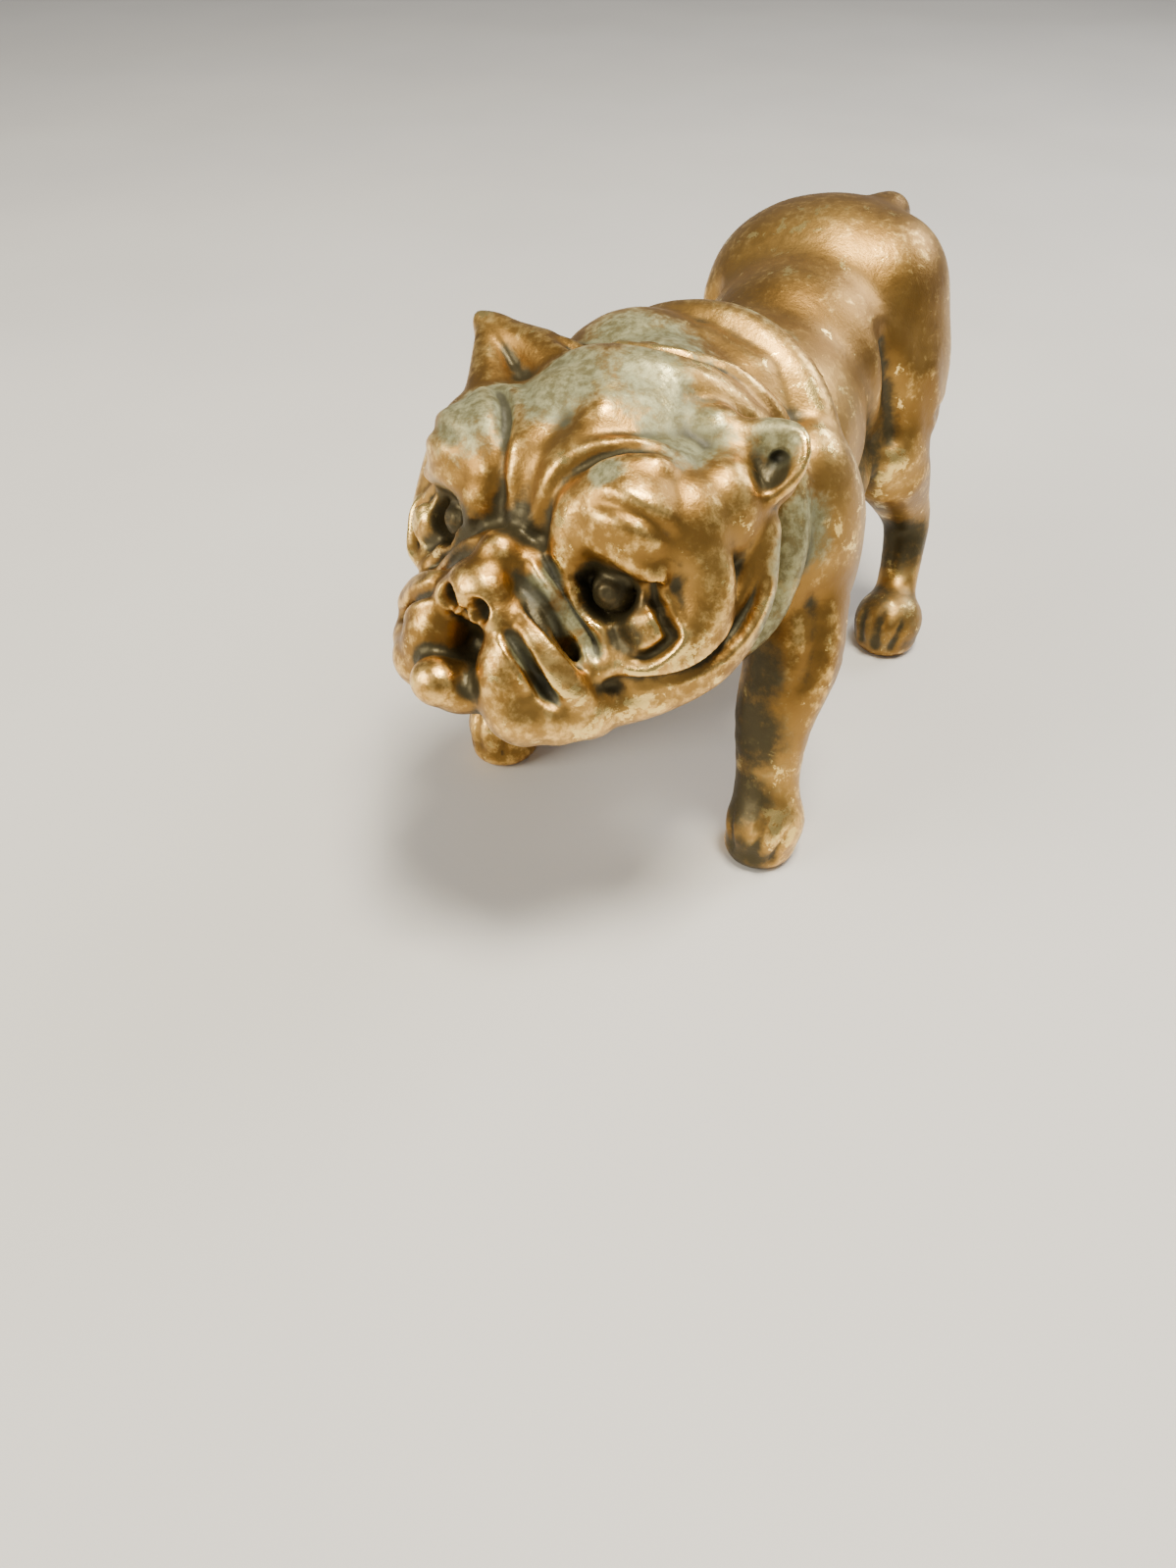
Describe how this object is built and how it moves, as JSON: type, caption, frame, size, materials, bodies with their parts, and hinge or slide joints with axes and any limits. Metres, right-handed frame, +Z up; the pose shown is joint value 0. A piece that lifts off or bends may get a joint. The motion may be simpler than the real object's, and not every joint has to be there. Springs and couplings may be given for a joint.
{
  "type": "figural coin bank",
  "caption": "Standing bulldog coin bank of hollow cast metal with a copper finish, a coin slot behind the neck and a key-locked hinged trap under the belly.",
  "frame": {"origin": "on the surface that the feet stand on, under the middle of the whole dog", "axes": "+Z up, the dog faces -Y and its left side is +X"},
  "size_m": [0.071, 0.1498, 0.0872],
  "materials": {
    "coppered_metal": "aged copper plate, satin, rubbed bright on the high points and dark green-grey in the recesses",
    "solder": "dull grey soft solder",
    "trap_brass": "tarnished sheet brass with turning marks",
    "lock_steel": "nickel-plated steel, lightly scratched"
  },
  "bodies": {
    "bank": {"body_casting": "coppered_metal", "head_casting": "coppered_metal", "neck_solder": "solder", "trap_frame": "trap_brass", "frame_screws": "trap_brass", "hinge_pin": "lock_steel"},
    "door": {"trap_door": "trap_brass", "lock_barrel": "trap_brass", "lock_nut": "trap_brass"},
    "plug": {"lock_plug": "lock_steel", "lock_cam": "lock_steel", "cam_screw": "lock_steel"}
  },
  "joints": [
    {"name": "door_hinge", "type": "hinge", "parent": "bank", "child": "door", "pos_m": [0, 0.03353, 0.0345], "axis": [1, 0, 0], "range_deg": [0, 90]},
    {"name": "lock_turn", "type": "hinge", "parent": "door", "child": "plug", "pos_m": [0, 0.00973, 0.036], "axis": [0, 0, -1], "range_deg": [0, 90]}
  ]
}
